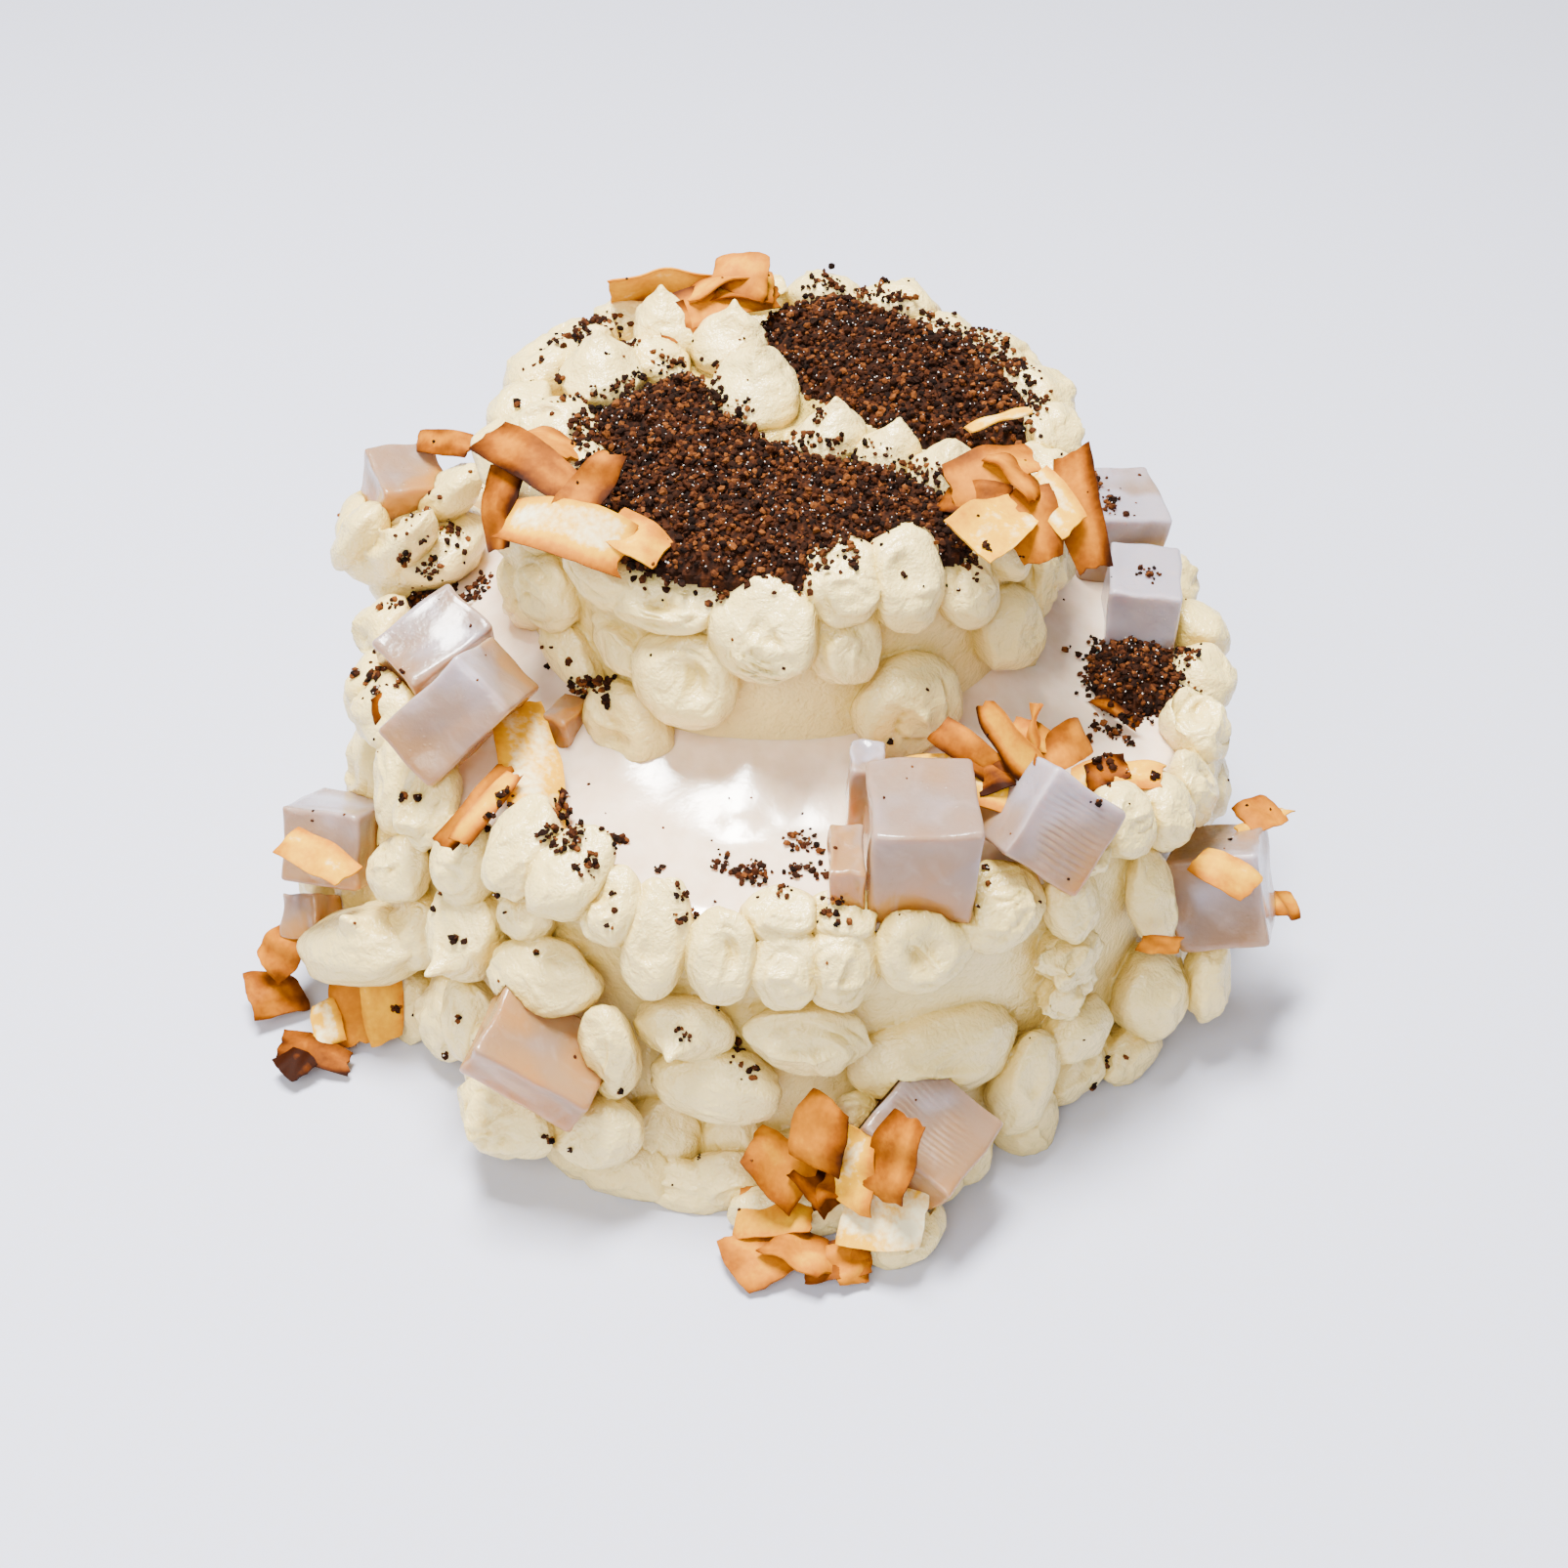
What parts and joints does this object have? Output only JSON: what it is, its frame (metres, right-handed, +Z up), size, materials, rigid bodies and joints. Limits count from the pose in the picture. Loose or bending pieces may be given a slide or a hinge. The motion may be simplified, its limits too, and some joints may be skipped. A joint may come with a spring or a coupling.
{
  "type": "two-tier iced cake",
  "caption": "Small two-tier cake iced in piped whipped cream, with a glazed ledge, jelly cubes, chocolate cookie crumbs and toasted coconut flakes.",
  "frame": {"origin": "middle of the lower tier's underside, on the plane that the cake stands on", "axes": "+Z up through the tiers; -Y towards the front of the picture's view; +X to its right"},
  "size_m": [0.1533, 0.1607, 0.0936],
  "materials": {
    "whipped_cream": "soft ivory whipped cream, satin where it was smoothed, with a thin milky glaze on the ledge",
    "lilac_jelly": "translucent pinkish-lilac jelly, wet gloss",
    "cookie_crumb": "dry dark brown cookie crumb with sugar sparkles",
    "toasted_coconut": "thin curled coconut flakes, cream in the middle and scorched orange-brown at the edges"
  },
  "bodies": {
    "root": {"crumbs_ledge_left": "cookie_crumb", "crumbs_ledge_right": "cookie_crumb", "crumbs_top_back": "cookie_crumb", "crumbs_top_front": "cookie_crumb", "crumbs_top_left": "cookie_crumb", "jelly_back_base": "lilac_jelly", "jelly_back_high": "lilac_jelly", "jelly_back_low": "lilac_jelly", "jelly_cup_front": "lilac_jelly", "jelly_cup_left": "lilac_jelly", "jelly_cup_right": "lilac_jelly", "jelly_dollop_left": "lilac_jelly", "jelly_front_low": "lilac_jelly", "jelly_front_ridged": "lilac_jelly", "jelly_front_slab": "lilac_jelly", "jelly_front_tall": "lilac_jelly", "jelly_left_big": "lilac_jelly", "jelly_left_high": "lilac_jelly", "jelly_left_small": "lilac_jelly", "jelly_right_far": "lilac_jelly", "jelly_right_near": "lilac_jelly", "jelly_side_left": "lilac_jelly", "jelly_side_low": "lilac_jelly", "lower_tier": "whipped_cream", "upper_tier": "whipped_cream"}
  },
  "joints": []
}
